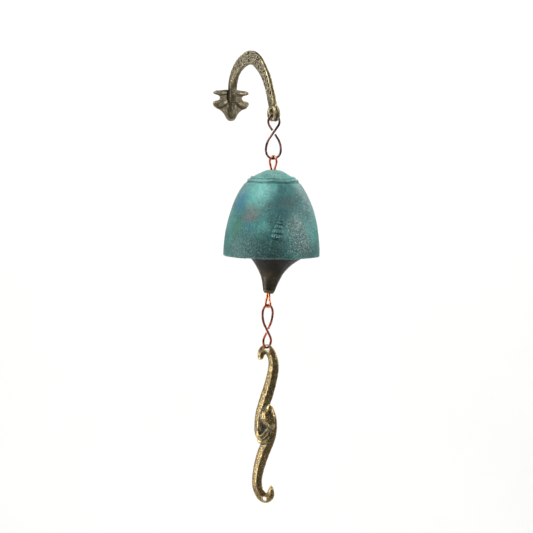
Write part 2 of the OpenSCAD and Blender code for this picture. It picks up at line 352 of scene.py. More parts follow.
class Look:
    """A node material in short calls. Sizes are in millimetres."""

    def __init__(self, name, metallic, roughness, coat=0.0, coat_roughness=0.3):
        self.material = bpy.data.materials.new(name)
        self.material.use_nodes = True
        self.tree = self.material.node_tree
        self.shader = self.tree.nodes["Principled BSDF"]
        self.set(self.shader, {"Metallic": metallic, "Roughness": roughness, "Coat Weight": coat,
                               "Coat Roughness": coat_roughness, "Specular IOR Level": 0.5})
        place = self.tree.nodes.new("ShaderNodeTexCoord").outputs["Object"]
        self.place = self.vector("SCALE", place, Scale=1000.0)
        self.normal = None

    def set(self, node, inputs):
        """Links or sets a node's inputs, and leaves alone those that are None."""
        for key, value in inputs.items():
            if isinstance(value, bpy.types.NodeSocket):
                self.tree.links.new(value, node.inputs[key])
            elif value is not None:
                if isinstance(value, tuple) and len(value) < len(node.inputs[key].default_value):
                    value = value + (1.0,)
                node.inputs[key].default_value = value
        return node

    def node(self, kind, inputs, **settings):
        node = self.tree.nodes.new(kind)
        for key, value in settings.items():
            setattr(node, key, value)
        return self.set(node, inputs)

    def vector(self, operation, a, b=None, **more):
        return self.node("ShaderNodeVectorMath", {0: a, 1: b, **more}, operation=operation).outputs[0]

    def maths(self, operation, a, b=None, clamp=False):
        return self.node("ShaderNodeMath", {0: a, 1: b}, operation=operation, use_clamp=clamp).outputs[0]

    def times(self, a, b):
        return self.maths("MULTIPLY", a, b)

    def noise(self, size, detail=3.0, rough=0.55, bent=0.0):
        return self.node("ShaderNodeTexNoise", {"Vector": self.place, "Scale": 1.0 / size, "Detail": detail,
                                                "Roughness": rough, "Distortion": bent}).outputs["Fac"]

    def pebbles(self, size):
        """Soft cells, in the place that `wandering` has bent."""
        return self.node("ShaderNodeTexVoronoi", {"Vector": self.wander, "Scale": 1.0 / size},
                         feature="SMOOTH_F1").outputs["Distance"]

    def shape(self, name):
        """A value that the mesh carries, such as how hollow it is."""
        return self.node("ShaderNodeAttribute", {}, attribute_name=name).outputs["Fac"]

    def ease(self, value, low, high, start=0.0, end=1.0):
        """`start` at low and `end` at high, smooth between."""
        return self.node("ShaderNodeMapRange", {"Value": value, "From Min": low, "From Max": high,
                                                "To Min": start, "To Max": end},
                         interpolation_type="SMOOTHSTEP").outputs[0]

    def ramp(self, value, *stops):
        node = self.node("ShaderNodeValToRGB", {"Fac": value})
        ramp = node.color_ramp
        while len(ramp.elements) < len(stops):
            ramp.elements.new(0.5)
        for element, (at, colour) in zip(ramp.elements, stops):
            element.position = at
            element.color = colour + (1.0,)
        return node.outputs["Color"]

    def mix(self, amount, a, b):
        """Colour a where the amount is 0 and b where it is 1."""
        node = self.node("ShaderNodeMix", {}, data_type="RGBA", blend_type="MIX")
        for index, value in ((0, amount), (6, a), (7, b)):  # the node's factor and colour inputs
            if isinstance(value, tuple):
                value = value + (1.0,)
            if isinstance(value, bpy.types.NodeSocket):
                self.tree.links.new(value, node.inputs[index])
            else:
                node.inputs[index].default_value = value
        return node.outputs[2]

    def tint(self, colour, amount, strength, over):
        """A colour with another, 0 to 255, laid over it."""
        return self.mix(self.times(amount, strength), colour, srgb(*over))

    def spot(self, point, radius, soft):
        """1 near a point, fading to 0 at the radius over a share `soft` of it, with a bent outline."""
        away = self.node("ShaderNodeVectorMath", {0: self.wander, 1: tuple(point)}, operation="DISTANCE")
        return self.ease(away.outputs["Value"], radius * (1 - soft), radius, 1.0, 0.0)

    def wandering(self, size, amount):
        """Bends the place that spots and pebbles are measured in."""
        noise = self.node("ShaderNodeTexNoise", {"Vector": self.place, "Scale": 1.0 / size, "Detail": 2.0})
        middle = self.vector("SUBTRACT", noise.outputs["Color"], (0.5, 0.5, 0.5))
        self.wander = self.vector("ADD", self.place, self.vector("SCALE", middle, Scale=amount))

    def bump(self, height, depth, strength):
        inputs = {"Height": height, "Distance": depth * MM, "Strength": strength, "Normal": self.normal}
        self.normal = self.node("ShaderNodeBump", inputs).outputs["Normal"]

    def finish(self, **inputs):
        if self.normal:
            inputs["Normal"] = self.normal
        self.set(self.shader, {k.replace("_", " "): v for k, v in inputs.items()})
        return self.material


def srgb(r, g, b):
    """A colour as seen, 0 to 255, in the linear light that materials use."""
    return tuple(((c / 255 + 0.055) / 1.055) ** 2.4 if c > 10 else c / 255 / 12.92 for c in (r, g, b))


def on_bell(side, height, radius=None):
    """Place on the bell's skin, `side` degrees to the right of the side that the main view looks at."""
    a = math.radians(VIEW_TURN + side)
    r = bell_r(height) if radius is None else radius
    return PLUMB + [r * math.sin(a), -r * math.cos(a), RIM_Z + height]


# Patches of the bell's patina, and patches of painted highlight and painted shade among them: side and height as
# for on_bell, radius, colour, strength.
PATINA_AND_PAINTED_LIGHT = [
    # painted highlight over paler patina: the key light's broad sheen high on the left, here and in the next
    # entry
    (-28, 76, 28, (104, 176, 168), 0.75),
    (-6, 74, 18, (88, 158, 152), 0.6),
    (-58, 64, 20, (30, 100, 128), 0.75),
    (-31, 50, 16, (112, 96, 98), 0.6),
    (-35, 34, 13, (34, 112, 130), 0.65),
    (-50, 33, 20, (44, 100, 72), 0.65),
    (-60, 12, 20, (42, 84, 72), 0.6),
    # painted shade: the dark band right of the middle, between the key's and the strip's reflections
    (9, 56, 24, (28, 72, 78), 0.8),
    # painted shadow round the shell relief
    (6, 34, 15, (24, 64, 68), 0.6),
    # painted shade: the top of the dark band right of the middle
    (12, 72, 16, (40, 92, 96), 0.6),
    (24, 62, 12, (92, 100, 94), 0.4),
    (31, 40, 15, (88, 86, 78), 0.6),
    (42, 16, 22, (96, 108, 98), 0.5),
    # painted highlight: the right rim light along the bell's right edge
    (80, 36, 36, (44, 140, 130), 0.7),
    (-12, 16, 26, (46, 98, 94), 0.5),
    (8, 22, 20, (34, 84, 86), 0.5),
    # painted shade low on the front of the bell, here and in the next entry
    (-32, 4, 38, (24, 62, 58), 0.85),
    (0, 2, 34, (14, 50, 50), 0.85),
    (150, 60, 30, (108, 100, 98), 0.4),
    (190, 30, 26, (40, 104, 124), 0.5),
    (235, 56, 26, (98, 166, 154), 0.6),
    (120, 20, 24, (44, 92, 72), 0.5),
]


def verdigris():
    """The bell's skin: patches of patina mixed with patches of painted highlight and painted shade, a painted
    highlight on the dome, specks of rust, blue and dark, painted shade in hollows, painted sparkle on edges and
    pebble tops, painted glints low on the right, and a darker inside with less patina and painted shade.
    """
    look = Look("verdigris_bronze", 0.25, 0.5, coat=0.10, coat_roughness=0.34)
    look.wandering(9, 16)
    clouds = look.noise(26, 5, 0.6, 0.6)
    colour = look.ramp(clouds, (0.30, srgb(27, 74, 75)), (0.47, srgb(43, 103, 99)),
                       (0.60, srgb(62, 132, 126)), (0.75, srgb(102, 172, 162)))
    # Lays the patches of patina and of painted highlight and painted shade over the clouds.
    for side, height, radius, patch, strength in PATINA_AND_PAINTED_LIGHT:
        colour = look.tint(colour, look.spot(on_bell(side, height), radius, soft=0.9), strength, patch)
    # Painted highlight: the top of the dome made paler, where the key light from above falls.
    crown = look.spot(on_bell(0, 100, radius=0), 34, soft=0.5)
    colour = look.tint(colour, crown, 0.6, (142, 204, 196))
    speckle = look.noise(1.5, 4, 0.7)
    rust = look.times(look.ease(speckle, 0.55, 0.70), look.ease(look.noise(17, 3), 0.42, 0.60))
    colour = look.tint(colour, rust, 0.55, (126, 98, 88))
    blue = look.ease(look.noise(2.3, 3, 0.6, 0.4), 0.54, 0.68)
    colour = look.tint(colour, blue, 0.45, (44, 122, 138))
    colour = look.tint(colour, look.ease(speckle, 0.46, 0.34), 0.55, (20, 58, 62))
    # Painted shade in hollows: between the pebbles, round the crown's rings and in the relief's sutures.
    colour = look.tint(colour, look.shape("hollow"), 0.75, (24, 66, 70))
    # Painted highlight: pale sparkle on edges and the tops of the pebbles.
    painted_edge_sparkle = look.times(look.shape("edge"), look.ease(look.noise(6, 3), 0.30, 0.62))
    colour = look.tint(colour, painted_edge_sparkle, 0.35, (140, 188, 176))
    # Painted reflection: pale glints of the right strip light low on the right of the leathery skin.
    painted_glints = look.ease(look.noise(1.2, 4, 0.75), 0.50, 0.64)
    painted_glints = look.times(look.spot(on_bell(38, 28), 34, soft=0.8), painted_glints)
    colour = look.tint(colour, painted_glints, 0.75, (182, 208, 202))
    # Darker inside the bell: less patina there, and painted shade.
    bare = look.ramp(look.noise(8, 4), (0.35, srgb(34, 42, 38)), (0.7, srgb(66, 84, 74)))
    colour = look.mix(look.shape("inside"), colour, bare)
    look.bump(look.noise(0.9, 3, 0.6), 0.26, 0.9)
    look.bump(look.pebbles(1.7), 0.55, 0.8)
    rough = look.ease(look.noise(3, 3), 0.3, 0.7, 0.44, 0.64)
    return look.finish(Base_Color=colour, Roughness=rough)


def cast_metal(name, colours, rubbed, recess, grain, metallic=0.85, rough=(0.34, 0.55), patch=14):
    """Cast bronze or brass: clouds of tone, recess colour in hollows, bare metal on edges, a sandy skin."""
    look = Look(name, metallic, 0.5)
    clouds = look.noise(patch, 4, 0.6, 0.5)
    first, spread = 0.32, 0.36
    stops = [(first + spread * k / (len(colours) - 1), srgb(*c)) for k, c in enumerate(colours)]
    colour = look.ramp(clouds, *stops)
    sand = look.noise(grain, 4, 0.65)
    colour = look.tint(colour, look.ease(sand, 0.50, 0.36), 0.55, recess)
    wear = look.times(look.shape("edge"), look.ease(look.noise(4, 3), 0.25, 0.6))
    colour = look.mix(wear, colour, srgb(*rubbed))
    colour = look.mix(look.ease(look.shape("hollow"), 0.15, 0.9), colour, srgb(*recess))
    look.bump(sand, 0.16, 0.5)
    look.bump(look.noise(grain * 3.5, 2, 0.5), 0.22, 0.4)
    shine = look.maths("ADD", look.ease(look.noise(3, 3), 0.35, 0.65, rough[0], rough[1]),
                       look.times(look.shape("hollow"), 0.3), clamp=True)
    return look, colour, shine


def bracket_bronze():
    """Bronze that is paler on the arm's flanks, nearly black in their pits and dull on the plate."""
    look, colour, shine = cast_metal("bracket_bronze", [(66, 60, 46), (90, 82, 63), (114, 104, 80)],
                                     rubbed=(190, 176, 138), recess=(30, 26, 20), grain=0.9)
    flank = look.times(look.shape("flank"), look.ease(look.noise(5, 3), 0.25, 0.6, 0.35, 0.8))
    colour = look.mix(flank, colour, srgb(134, 126, 108))
    colour = look.tint(colour, look.shape("pit"), 0.95, (18, 15, 11))
    colour = look.tint(colour, look.shape("plate"), 0.6, (92, 85, 70))
    return look.finish(Base_Color=colour, Roughness=shine)


def pull_brass():
    """Brass with blue-green patina along the knot's seams and in a few specks."""
    look, colour, shine = cast_metal("pull_brass", [(60, 50, 34), (82, 69, 46), (106, 89, 60)],
                                     rubbed=(216, 190, 134), recess=(24, 20, 15), grain=0.8, rough=(0.32, 0.48))
    seam = look.times(look.ease(look.shape("seam"), 0.2, 0.6), look.ease(look.noise(3, 3), 0.2, 0.45))
    colour = look.mix(seam, colour, srgb(92, 118, 122))
    speck = look.times(look.ease(look.noise(1.4, 3, 0.7), 0.62, 0.72), look.ease(look.noise(12, 2), 0.5, 0.65))
    colour = look.tint(colour, speck, 0.6, (92, 114, 110))
    return look.finish(Base_Color=colour, Roughness=shine)


def dark_bronze():
    """The clapper's bronze, painted almost black in the bell's shadow over its upper part."""
    look, colour, shine = cast_metal("dark_bronze", [(38, 35, 28), (56, 50, 37), (78, 67, 47)],
                                     rubbed=(110, 95, 67), recess=(22, 20, 17), grain=0.7,
                                     rough=(0.36, 0.52), metallic=0.7)
    # Painted shadow: the bell's shade over the clapper's upper part.
    colour = look.tint(colour, look.shape("sheltered"), 0.95, (12, 11, 10))
    return look.finish(Base_Color=colour, Roughness=shine)


def copper(name, colours, dark, amount, rough=(0.22, 0.42)):
    """Drawn copper wire: oxide that comes and goes along it, and faint marks along and across."""
    look = Look(name, 1.0, 0.3)
    colour = look.ramp(look.noise(7, 4, 0.6, 0.4), (0.35, srgb(*colours[0])), (0.65, srgb(*colours[1])))
    oxide = look.ease(look.noise(3.2, 4, 0.7, 0.6), 0.62 - amount, 0.78 - amount)
    colour = look.mix(oxide, colour, srgb(*dark))
    look.bump(look.noise(0.35, 3, 0.6), 0.05, 0.5)
    look.bump(look.noise(2.2, 3, 0.5), 0.12, 0.5)
    shine = look.ease(oxide, 0.0, 1.0, rough[0], rough[1])
    return look.finish(Base_Color=colour, Roughness=shine)


def plain_brass():
    look = Look("washer_brass", 1.0, 0.35)
    colour = look.ramp(look.noise(5, 4), (0.35, srgb(120, 96, 52)), (0.65, srgb(176, 146, 84)))
    colour = look.mix(look.ease(look.noise(1.2, 3), 0.58, 0.7), colour, srgb(70, 92, 80))
    look.bump(look.noise(0.6, 3), 0.06, 0.5)
    return look.finish(Base_Color=colour, Roughness=look.ease(look.noise(2, 2), 0.3, 0.7, 0.28, 0.5))


# ---- wires

WIRE_R = 1.3
HOOK = 2 * WIRE_R + 0.15  # from the middle of one wire to the middle of the wire it hangs on
WIRE_STEP = 0.4
END_GAP = 0.8  # between the two cut ends of a closed wire


def route(point, way, left, moves):
    """Points along moves of [straight run, bend radius, bend angle, roll], as a wire is bent by hand."""
    point, way, left = (np.array(v, float) for v in (point, way, left))
    path = [point]
    for run, radius, angle, roll in moves:
        n = max(1, int(run / WIRE_STEP))
        path += [point + way * run * k / n for k in range(1, n + 1)] if run > 0 else []
        point = point + way * run
        left = spin(left, way, roll)
        axis = np.cross(way, left)
        middle = point + math.copysign(radius, angle) * left
        n = max(1, int(abs(math.radians(angle)) * radius / WIRE_STEP)) if angle else 0
        path += [middle + spin(point - middle, axis, angle * k / n) for k in range(1, n + 1)]
        if n:
            point, way, left = path[-1], spin(way, axis, angle), spin(left, axis, angle)
    return np.array(path)


def relaxed(path, times):
    """The path with its changes of bend eased."""
    for _ in range(times):
        path = np.vstack([path[:1], (path[:-2] + 2 * path[1:-1] + path[2:]) / 4, path[-1:]])
    return path


def wire(path, side, seed):
    """Round wire with cut, slightly rounded ends and the small flats that pliers leave."""
    sides, flat_size, flat_depth, shrink = 24, 4.5, 0.035, 0.012
    end_rounding = ((0.97, 0.14), (0.86, 0.26), (0.5, 0.3))  # share of the radius, distance past the cut
    path = relaxed(path, 12)
    way, across, up = frames(path, np.asarray(side, float))
    a = np.arange(sides) * 2 * math.pi / sides
    round_ = np.stack([np.cos(a), np.sin(a)], 1)
    rings = path[:, None] + WIRE_R * (across[:, None] * round_[:, :1] + up[:, None] * round_[:, 1:])
    flats = layers(rings.reshape(-1, 3) + seed, flat_size, 2).reshape(len(path), sides)
    scale = 1 - flat_depth * np.clip(flats, 0, 1) - shrink
    rings = path[:, None] + (rings - path[:, None]) * scale[..., None]
    ends = []
    for k, sign in ((0, -1), (-1, 1)):
        ends.append(np.array([path[k] + (rings[k] - path[k]) * s + way[k] * sign * d for s, d in end_rounding]))
    return loft(np.concatenate([ends[0][::-1], rings, ends[1]]))


# An eye is (radius of its loop, angle its sides spread at, radius of the bends into its parallel legs), and leg
# is half the distance between those.

def eye_run(eye, leg):
    """Straight run of wire between the loop and a bend."""
    r, spread, bend = eye
    s = math.radians(spread)
    return (r * math.cos(s) - leg - bend * (1 - math.cos(s))) / math.sin(s)


def eye_h(eye, leg):
    """Height of an eye from the start of its bends to its crest."""
    r, spread, bend = eye
    s = math.radians(spread)
    return r + (r + bend) * math.sin(s) + eye_run(eye, leg) * math.cos(s)


def half_eye(eye, leg):
    """Moves from an eye's crest down to its leg."""
    return [[0, eye[0], -90 - eye[1], 0], [eye_run(eye, leg), eye[2], eye[1], 0]]


def half_eye_back(eye, leg, run, roll):
    """Moves along a leg and up to an eye's crest."""
    return [[run, eye[2], eye[1], roll], [eye_run(eye, leg), eye[0], -90 - eye[1], 0]]


def figure_eight():
    """Link in the XZ plane with its small loop uppermost, the crest of that loop's wire at the origin."""
    small_r, large_r, side_r, lean = 7.4, 9.8, 22.0, math.radians(38)
    small_run = small_r / math.tan(lean)
    large_run = (large_r - side_r * (1 - math.cos(lean))) / math.sin(lean)
    gap = (HOOK + WIRE_R * math.cos(2 * lean)) / math.sin(2 * lean)
    way = np.array([-math.sin(lean), 0, math.cos(lean)])
    turn = math.degrees(lean)
    start = np.array([0, 0, -small_r / math.sin(lean) - small_r]) + gap * way
    return route(start, way, (-math.cos(lean), 0, -math.sin(lean)), [
        [small_run - gap, small_r, -180 - 2 * turn, 0], [small_run + large_run, side_r, turn, 0],
        [0, large_r, 180, 0], [0, side_r, turn, 0], [large_run - gap, 0, 0, 0]])


def placed(path, turn, at, lean=0.0):
    """A path turned about Z, leaned about Y and moved."""
    path = spin(np.asarray(path, float), UP, turn)
    return spin(path, np.array([0.0, 1.0, 0.0]), lean) + at


def make_wires():
    dark = copper("dark_copper", [(96, 62, 58), (150, 104, 98)], (46, 34, 34), 0.18, (0.3, 0.42))
    bright = copper("bright_copper", [(170, 88, 62), (214, 132, 98)], (96, 44, 34), 0.06)
    red = copper("red_copper", [(128, 52, 34), (178, 84, 54)], (64, 26, 24), 0.14, (0.26, 0.4))

    path = figure_eight() + JOINT["link_swing"][0]
    Skin(wire(path, (0, 1, 0), seed=3)).piece("upper_link_wire", "upper_link", "dark_copper", dark)

    path = placed(figure_eight() * [1, -1, -1], turn_of("pull_swing"), JOINT["pull_swing"][0])
    Skin(wire(path, (0, 1, 0), seed=31)).piece("lower_link_wire", "lower_link", "red_copper", red)

    # The crown wire: a small eye above the crown, two legs through it and a wide eye inside.
    crown_leg, crown_eye, hanger_eye = 2.0, (5.5, 20, 4), (5.0, 40, 3)
    crown_top = JOINT["bell_swing"][0][2]
    hanger = JOINT["clapper_swing"][0][2] - HOOK
    turn = turn_of("bell_swing")
    legs = crown_top - eye_h(crown_eye, crown_leg) - hanger - eye_h(hanger_eye, crown_leg)
    path = route((crown_leg, 0, legs / 2), (0, 0, -1), (1, 0, 0),
                 half_eye_back(hanger_eye, crown_leg, legs / 2, 0) + half_eye(hanger_eye, crown_leg)
                 + half_eye_back(crown_eye, crown_leg, legs, 0) + half_eye(crown_eye, crown_leg)
                 + [[legs / 2 - END_GAP, 0, 0, 0]])
    path = placed(path, turn, PLUMB + [0, 0, hanger + eye_h(hanger_eye, crown_leg)])
    Skin(wire(path, (1, 0, 0), seed=57)).piece("crown_wire_bent", "crown_wire", "bright_copper", bright)

    # The clapper wire: an eye under the clapper, legs that cross over above it, and an eye inside the bell.
    leg, top_eye, tail_eye, hidden = 1.6, (4.4, 25, 4), (3.9, 15, 4), 20.0
    twist_lean, twist_r, upper_leg, lower_leg = 6.0, 20.0, 20.0, 68.6
    s = math.radians(twist_lean)
    twist_run = (leg * math.sqrt(2) - 2 * twist_r * (1 - math.cos(s))) / math.sin(s)
    twist_h = 2 * twist_r * math.sin(s) + twist_run * math.cos(s)
    length = eye_h(top_eye, leg) + upper_leg + twist_h + lower_leg + eye_h(tail_eye, leg)
    cross_over = [[twist_run, twist_r, -twist_lean, 0]]
    top, tail = JOINT["clapper_swing"][0], JOINT["lower_link_swing"][0]
    lean = math.degrees(math.atan2(top[0] - tail[0], top[2] - tail[2]))
    path = route((leg, 0, eye_h(tail_eye, leg) + hidden - length), (0, 0, -1), (1, 0, 0),
                 half_eye_back(tail_eye, leg, hidden, 0) + half_eye(tail_eye, leg)
                 + [[lower_leg, twist_r, twist_lean, 135]] + cross_over
                 + half_eye_back(top_eye, leg, upper_leg, -45) + half_eye(top_eye, leg)
                 + [[upper_leg, twist_r, twist_lean, 135]] + cross_over
                 + [[lower_leg - hidden - END_GAP, 0, 0, 0]])
    path = placed(path, turn, top, lean)
    Skin(wire(path, (1, 0, 0), seed=83)).piece("clapper_wire_bent", "clapper_wire", "bright_copper", bright)


# ---- bell, clapper and washer

def arc(r, h, size, start, end, n):
    return [[r + size * math.cos(a), h + size * math.sin(a)] for a in np.radians(np.linspace(start, end, n))]


def make_bell():
    """The bell in one outline: up the wall, over rings and dome, and down the inside."""
    wall, lip, hole = 4.5, 1.9, 3.6
    ceiling, hollow_h = BODY_H + 8, BODY_H + 12
    inner = MOUTH_R - wall
    dome_foot, dome_r, dome_rise = BODY_H + 9.0, 22.4, 8.2
    body = [[float(bell_r(h)), h] for h in np.linspace(lip, BODY_H + 1.3, 108)]
    rings = ([[29.6, BODY_H + 2.6]] + arc(26.3, BODY_H + 4.4, 2.5, -20, 62, 8)
             + arc(23.6, BODY_H + 7.4, 2.1, -20, 80, 8))
    dome = [[r, dome_foot + dome_rise * math.cos(math.pi / 2 * r / dome_r)]
            for r in np.linspace(dome_r, hole + 0.8, 22)]
    inside = [[inner * math.sqrt(1 - (h / hollow_h) ** 2), h] for h in np.linspace(ceiling, lip, 46)]
    outer = (arc(MOUTH_R - lip, lip, lip, -90, -5, 6) + body + rings + dome
             + [[hole, dome_foot + dome_rise - 1], [hole, ceiling + 2]])
    hollow = [[hole + 0.5, ceiling]] + inside + arc(inner + lip - 0.4, lip, lip - 0.4, 180, 268, 5)
    columns = 400
    skin = Skin(revolve(outer + hollow, columns))
    p = skin.co
    hollow_side = np.tile(np.arange(len(outer + hollow)) >= len(outer), columns).astype(float)
    angle = np.degrees(np.arctan2(p[:, 0], -p[:, 1])) - VIEW_TURN
    h = p[:, 2].copy()
    crown = ease(h, BODY_H, BODY_H + 3) * (1 - hollow_side)
    body_side = (1 - hollow_side) * (1 - crown)

    # The wall was cut and rolled by hand: slow waves in the skin, the rim and the crown's rings.
    skin.push(body_side * 0.55 * layers(p + 40, 60, 2))
    low = 1 - ease(h, 0, 14)
    a = np.radians(angle)
    rim_wave = 0.5 * np.sin(2 * a + 0.6) + 0.28 * np.sin(5 * a + 2) + 0.22 * np.sin(11 * a)
    skin.co[:, 2] += low * (0.55 + 0.5 * rim_wave)
    ring_wave = 0.45 * np.sin(2 * a + 1.2) + 0.35 * np.sin(3 * a + 4) + 0.25 * np.sin(7 * a + 1)
    on_rings = bump_at(h, BODY_H + 6, 6) * (1 - hollow_side)
    skin.co[:, 2] += on_rings * 0.9 * ring_wave
    skin.co[:, :2] *= (1 + 0.012 * on_rings * (np.sin(4 * a + 2) + 0.6 * np.sin(9 * a)))[:, None]

    # Leathery skin, coarser towards the rim, and radial wrinkles over one side of the dome.
    pebble, own = cells(stirred(p, 4, 1.8, (0, 9, 19)), 2.3)
    coarse = 0.25 + 0.75 * ease(h, 62, 18)
    leather = (0.5 - pebble) * 0.55 * (0.6 + 0.8 * own) + 0.28 * layers(p, 1.9, 2)
    wrinkles, wrinkle_r = 34, 15.5
    wrinkle = np.sin(a * wrinkles + 2.5 * layers(p, 7, 2)) * bump_at(np.hypot(p[:, 0], p[:, 1]), wrinkle_r, 5)
    right = bump_at((angle + 180) % 360 - 180, 45, 60)
    lumps = layers(p + 5, 7, 3)
    skin.push(body_side * coarse * leather * 0.85
              + crown * (0.2 * leather + 0.45 * lumps + 0.5 * wrinkle * right)
              + hollow_side * 0.25 * layers(p, 6, 3))
    skin.co += PLUMB + [0, 0, RIM_Z]
    skin.piece("bell_casting", "bell", "verdigris_bronze", VERDIGRIS, hollow=0.28, edge=0.32, spread=1,
               inside=hollow_side)


def make_relief():
    """A turret shell in low relief: whorls that shrink towards a tip leaning to one side.

    u runs across it from -1 to 1 and v up it from 0 to 1, and both run on a little into the bell's wall.
    """
    base, tall, lean, turn, sunk_back = 23.6, 28.0, 0.20, -24.6, -3.2
    columns, rows = 96, 168
    u, v = np.meshgrid(np.linspace(-1.12, 1.12, columns), np.linspace(-0.05, 1.04, rows))
    v_edge = np.clip(v, 0, 1)
    sutures = [0.0, 0.20, 0.40, 0.565, 0.70, 0.81, 0.90, 0.965, 1.0]
    half = 8.4 * (1 - v_edge) ** 0.86 * (0.46 + 0.54 * ease(v_edge, -0.10, 0.27)) + 0.35
    slant = v_edge + 0.035 * u * (1 - 0.6 * v_edge)
    whorl = np.interp(slant, sutures, np.arange(len(sutures)))
    swell = np.abs(np.sin(math.pi * whorl)) ** 0.55
    half = half * (0.82 + 0.20 * swell)
    across = np.sqrt(np.clip(1 - np.clip(np.abs(u), 0, 1) ** 2, 0, 1))
    tip = 1 - ease(v, 0.93, 1.02)
    foot = ease(v, -0.045, 0.05)
    height = (4.4 - 2.1 * v_edge) * across ** 0.8 * (0.22 + 0.78 * swell) * tip * foot
    turns = np.arcsin(np.clip(u, -1, 1)) / math.pi
    knobs = np.cos(2 * math.pi * (turns * 7 + 0.35 * np.floor(whorl))) * swell * across
    cords = np.cos(2 * math.pi * whorl * 3)
    height = height * (1 + 0.12 * knobs) + 0.12 * cords * across * tip * foot
    sunk = np.clip(np.abs(u) - 0.97, 0, 1) * 9 + np.clip(-v, 0, 1) * 20 + np.clip(v - 1.0, 0, 1) * 20
    height = height - 0.5 - sunk
    x = u * half + lean * v_edge * tall
    z = base + v * tall
    points = []
    for lift in (height, np.full_like(height, sunk_back)):
        r = bell_r(z) + lift
        a = math.radians(turn) + x / bell_r(z)
        points.append(np.stack([r * np.sin(a), -r * np.cos(a), z], 2).reshape(-1, 3))
    back = columns * rows
    faces = []
    for i in range(rows - 1):
        for k in range(columns - 1):
            q = i * columns + k
            faces.append((q, q + 1, q + columns + 1, q + columns))
            faces.append((back + q, back + q + columns, back + q + columns + 1, back + q + 1))
    ring = (list(range(columns)) + [i * columns + columns - 1 for i in range(1, rows)]
            + [(rows - 1) * columns + k for k in range(columns - 2, -1, -1)]
            + [i * columns for i in range(rows - 2, 0, -1)])
    for a, b in zip(ring, ring[1:] + ring[:1]):
        faces.append((b, a, back + a, back + b))
    skin = Skin((np.vstack(points), faces))
    skin.push(0.10 * layers(skin.co, 1.2, 3))
    skin.co += PLUMB + [0, 0, RIM_Z]
    skin.piece("bell_relief", None, "verdigris_bronze", VERDIGRIS, body="bell", hollow=0.7, edge=0.7, spread=1,
               inside=np.zeros(len(skin.co)))


def make_clapper():
    """The clapper in one outline: up the flare, over its top and down the wire's bore."""
    tip, axis = JOINT["clapper_spin"]
    strike_r, flare_h, core_r, off_centre = 35.0, 45.0, 3.5, 2.2
    top_h = flare_h + 8
    h = np.linspace(2.6, flare_h, 60)
    t = h / flare_h
    flare = np.stack([6 + (strike_r - 7) * (0.36 * t + 0.64 * t ** 3), h], 1).tolist()
    top = curve([[strike_r - 1.2, flare_h + 3.7, 0], [30, flare_h + 4.2, 0], [22, flare_h + 5.2, 0],
                 [14, flare_h + 6.6, 0], [11.5, top_h, 0], [9.8, top_h + 0.2, 0]], 1.2)[:, :2].tolist()
    tip_curve = curve([[core_r, 0.2, 0], [4.2, 0.0, 0], [5.2, 0.7, 0], [6.0, 2.0, 0]], 0.4)[:, :2].tolist()
    outline = tip_curve + flare + arc(strike_r - 2, flare_h + 1.8, 2, -20, 70, 7) + top + [[9.0, top_h - 0.6]]
    outline += np.linspace([8.6, top_h - 1.6], [core_r, 7], 30).tolist()
    outline += np.linspace([core_r, 6], [core_r, 1.4], 6).tolist()
    skin = Skin(revolve(even(outline, 0.9), 240))
    p = skin.co
    # Where the bell's painted shadow falls on the clapper: from the flare's middle upwards.
    sheltered = ease(p[:, 2], 18, 36)
    radius = np.hypot(p[:, 0], p[:, 1])
    skin.push((0.30 * layers(p, 24, 2) + 0.10 * layers(p, 3.5, 3)) * ease(radius, 3.6, 6))
    skin.co[:, 0] -= off_centre * ease(p[:, 2], 4, 46) * ease(radius, 9, 15)
    lean = Matrix.Rotation(math.atan2(axis[0], axis[2]), 3, "Y")
    skin.co = skin.co @ np.array(lean).T + tip
    skin.piece("clapper_casting", "clapper", "dark_bronze", dark_bronze(), hollow=0.4, edge=0.4, spread=2,
               sheltered=sheltered)


def make_washer():
    low, high = (np.array(c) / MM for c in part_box("crown_washer"))
    r, thick, hole, edge = 9.0, high[2] - low[2], 3.65, 0.35
    corners = ((r - edge, edge), (r - edge, thick - edge), (hole + edge, thick - edge), (hole + edge, edge))
    outline = sum([arc(x, z, edge, 90 * k - 90, 90 * k, 4) for k, (x, z) in enumerate(corners)], [])
    skin = Skin(revolve(even(outline, 0.7), 96))
    skin.push(0.03 * layers(skin.co, 3, 2))
    skin.co += PLUMB + [0, 0, low[2]]
    skin.piece("washer_disc", "crown_washer", "washer_brass", plain_brass(), body="crown_wire")


# ---- bracket

# Middle line of the arm: [distance from the wall, height, depth of section, thickness].
ARM = [[3.0, 4, 7.4, 8.6], [4.4, 12, 8.6, 9.2], [5.0, 24, 9.8, 9.7], [9.6, 35, 11.2, 9.2],
       [17.4, 43.8, 13.2, 8.8], [29.4, 50.6, 15, 8.4], [43, 54.4, 16.2, 8.0], [55.6, 53.4, 16.2, 7.6],
       [67.2, 47.6, 15.6, 7.4], [77.2, 39.4, 14.0, 7.2], [85.6, 29.8, 12.8, 7.2], [92.3, 19, 12.0, 7.4],
       [97.4, 8, 11.8, 7.6], [100.8, 0, 11.8, 7.8], [102.2, -4, 10.4, 7.6]]
EYE = [0, -103.2, -10.2]  # middle of the eye's boss
BORE_SHIFT = [0, -0.8, 0.8]  # from there to the middle of its bore
EYE_R, EYE_T, BORE_R = 9.2, 8.0, 4.7


def superellipse(n, power):
    """Section of half sizes 1: round at power 2 and squarer above it."""
    a = np.arange(n) * 2 * math.pi / n
    return np.stack([np.sign(np.cos(a)) * np.abs(np.cos(a)) ** (2 / power),
                     np.sign(np.sin(a)) * np.abs(np.sin(a)) ** (2 / power)], 1)


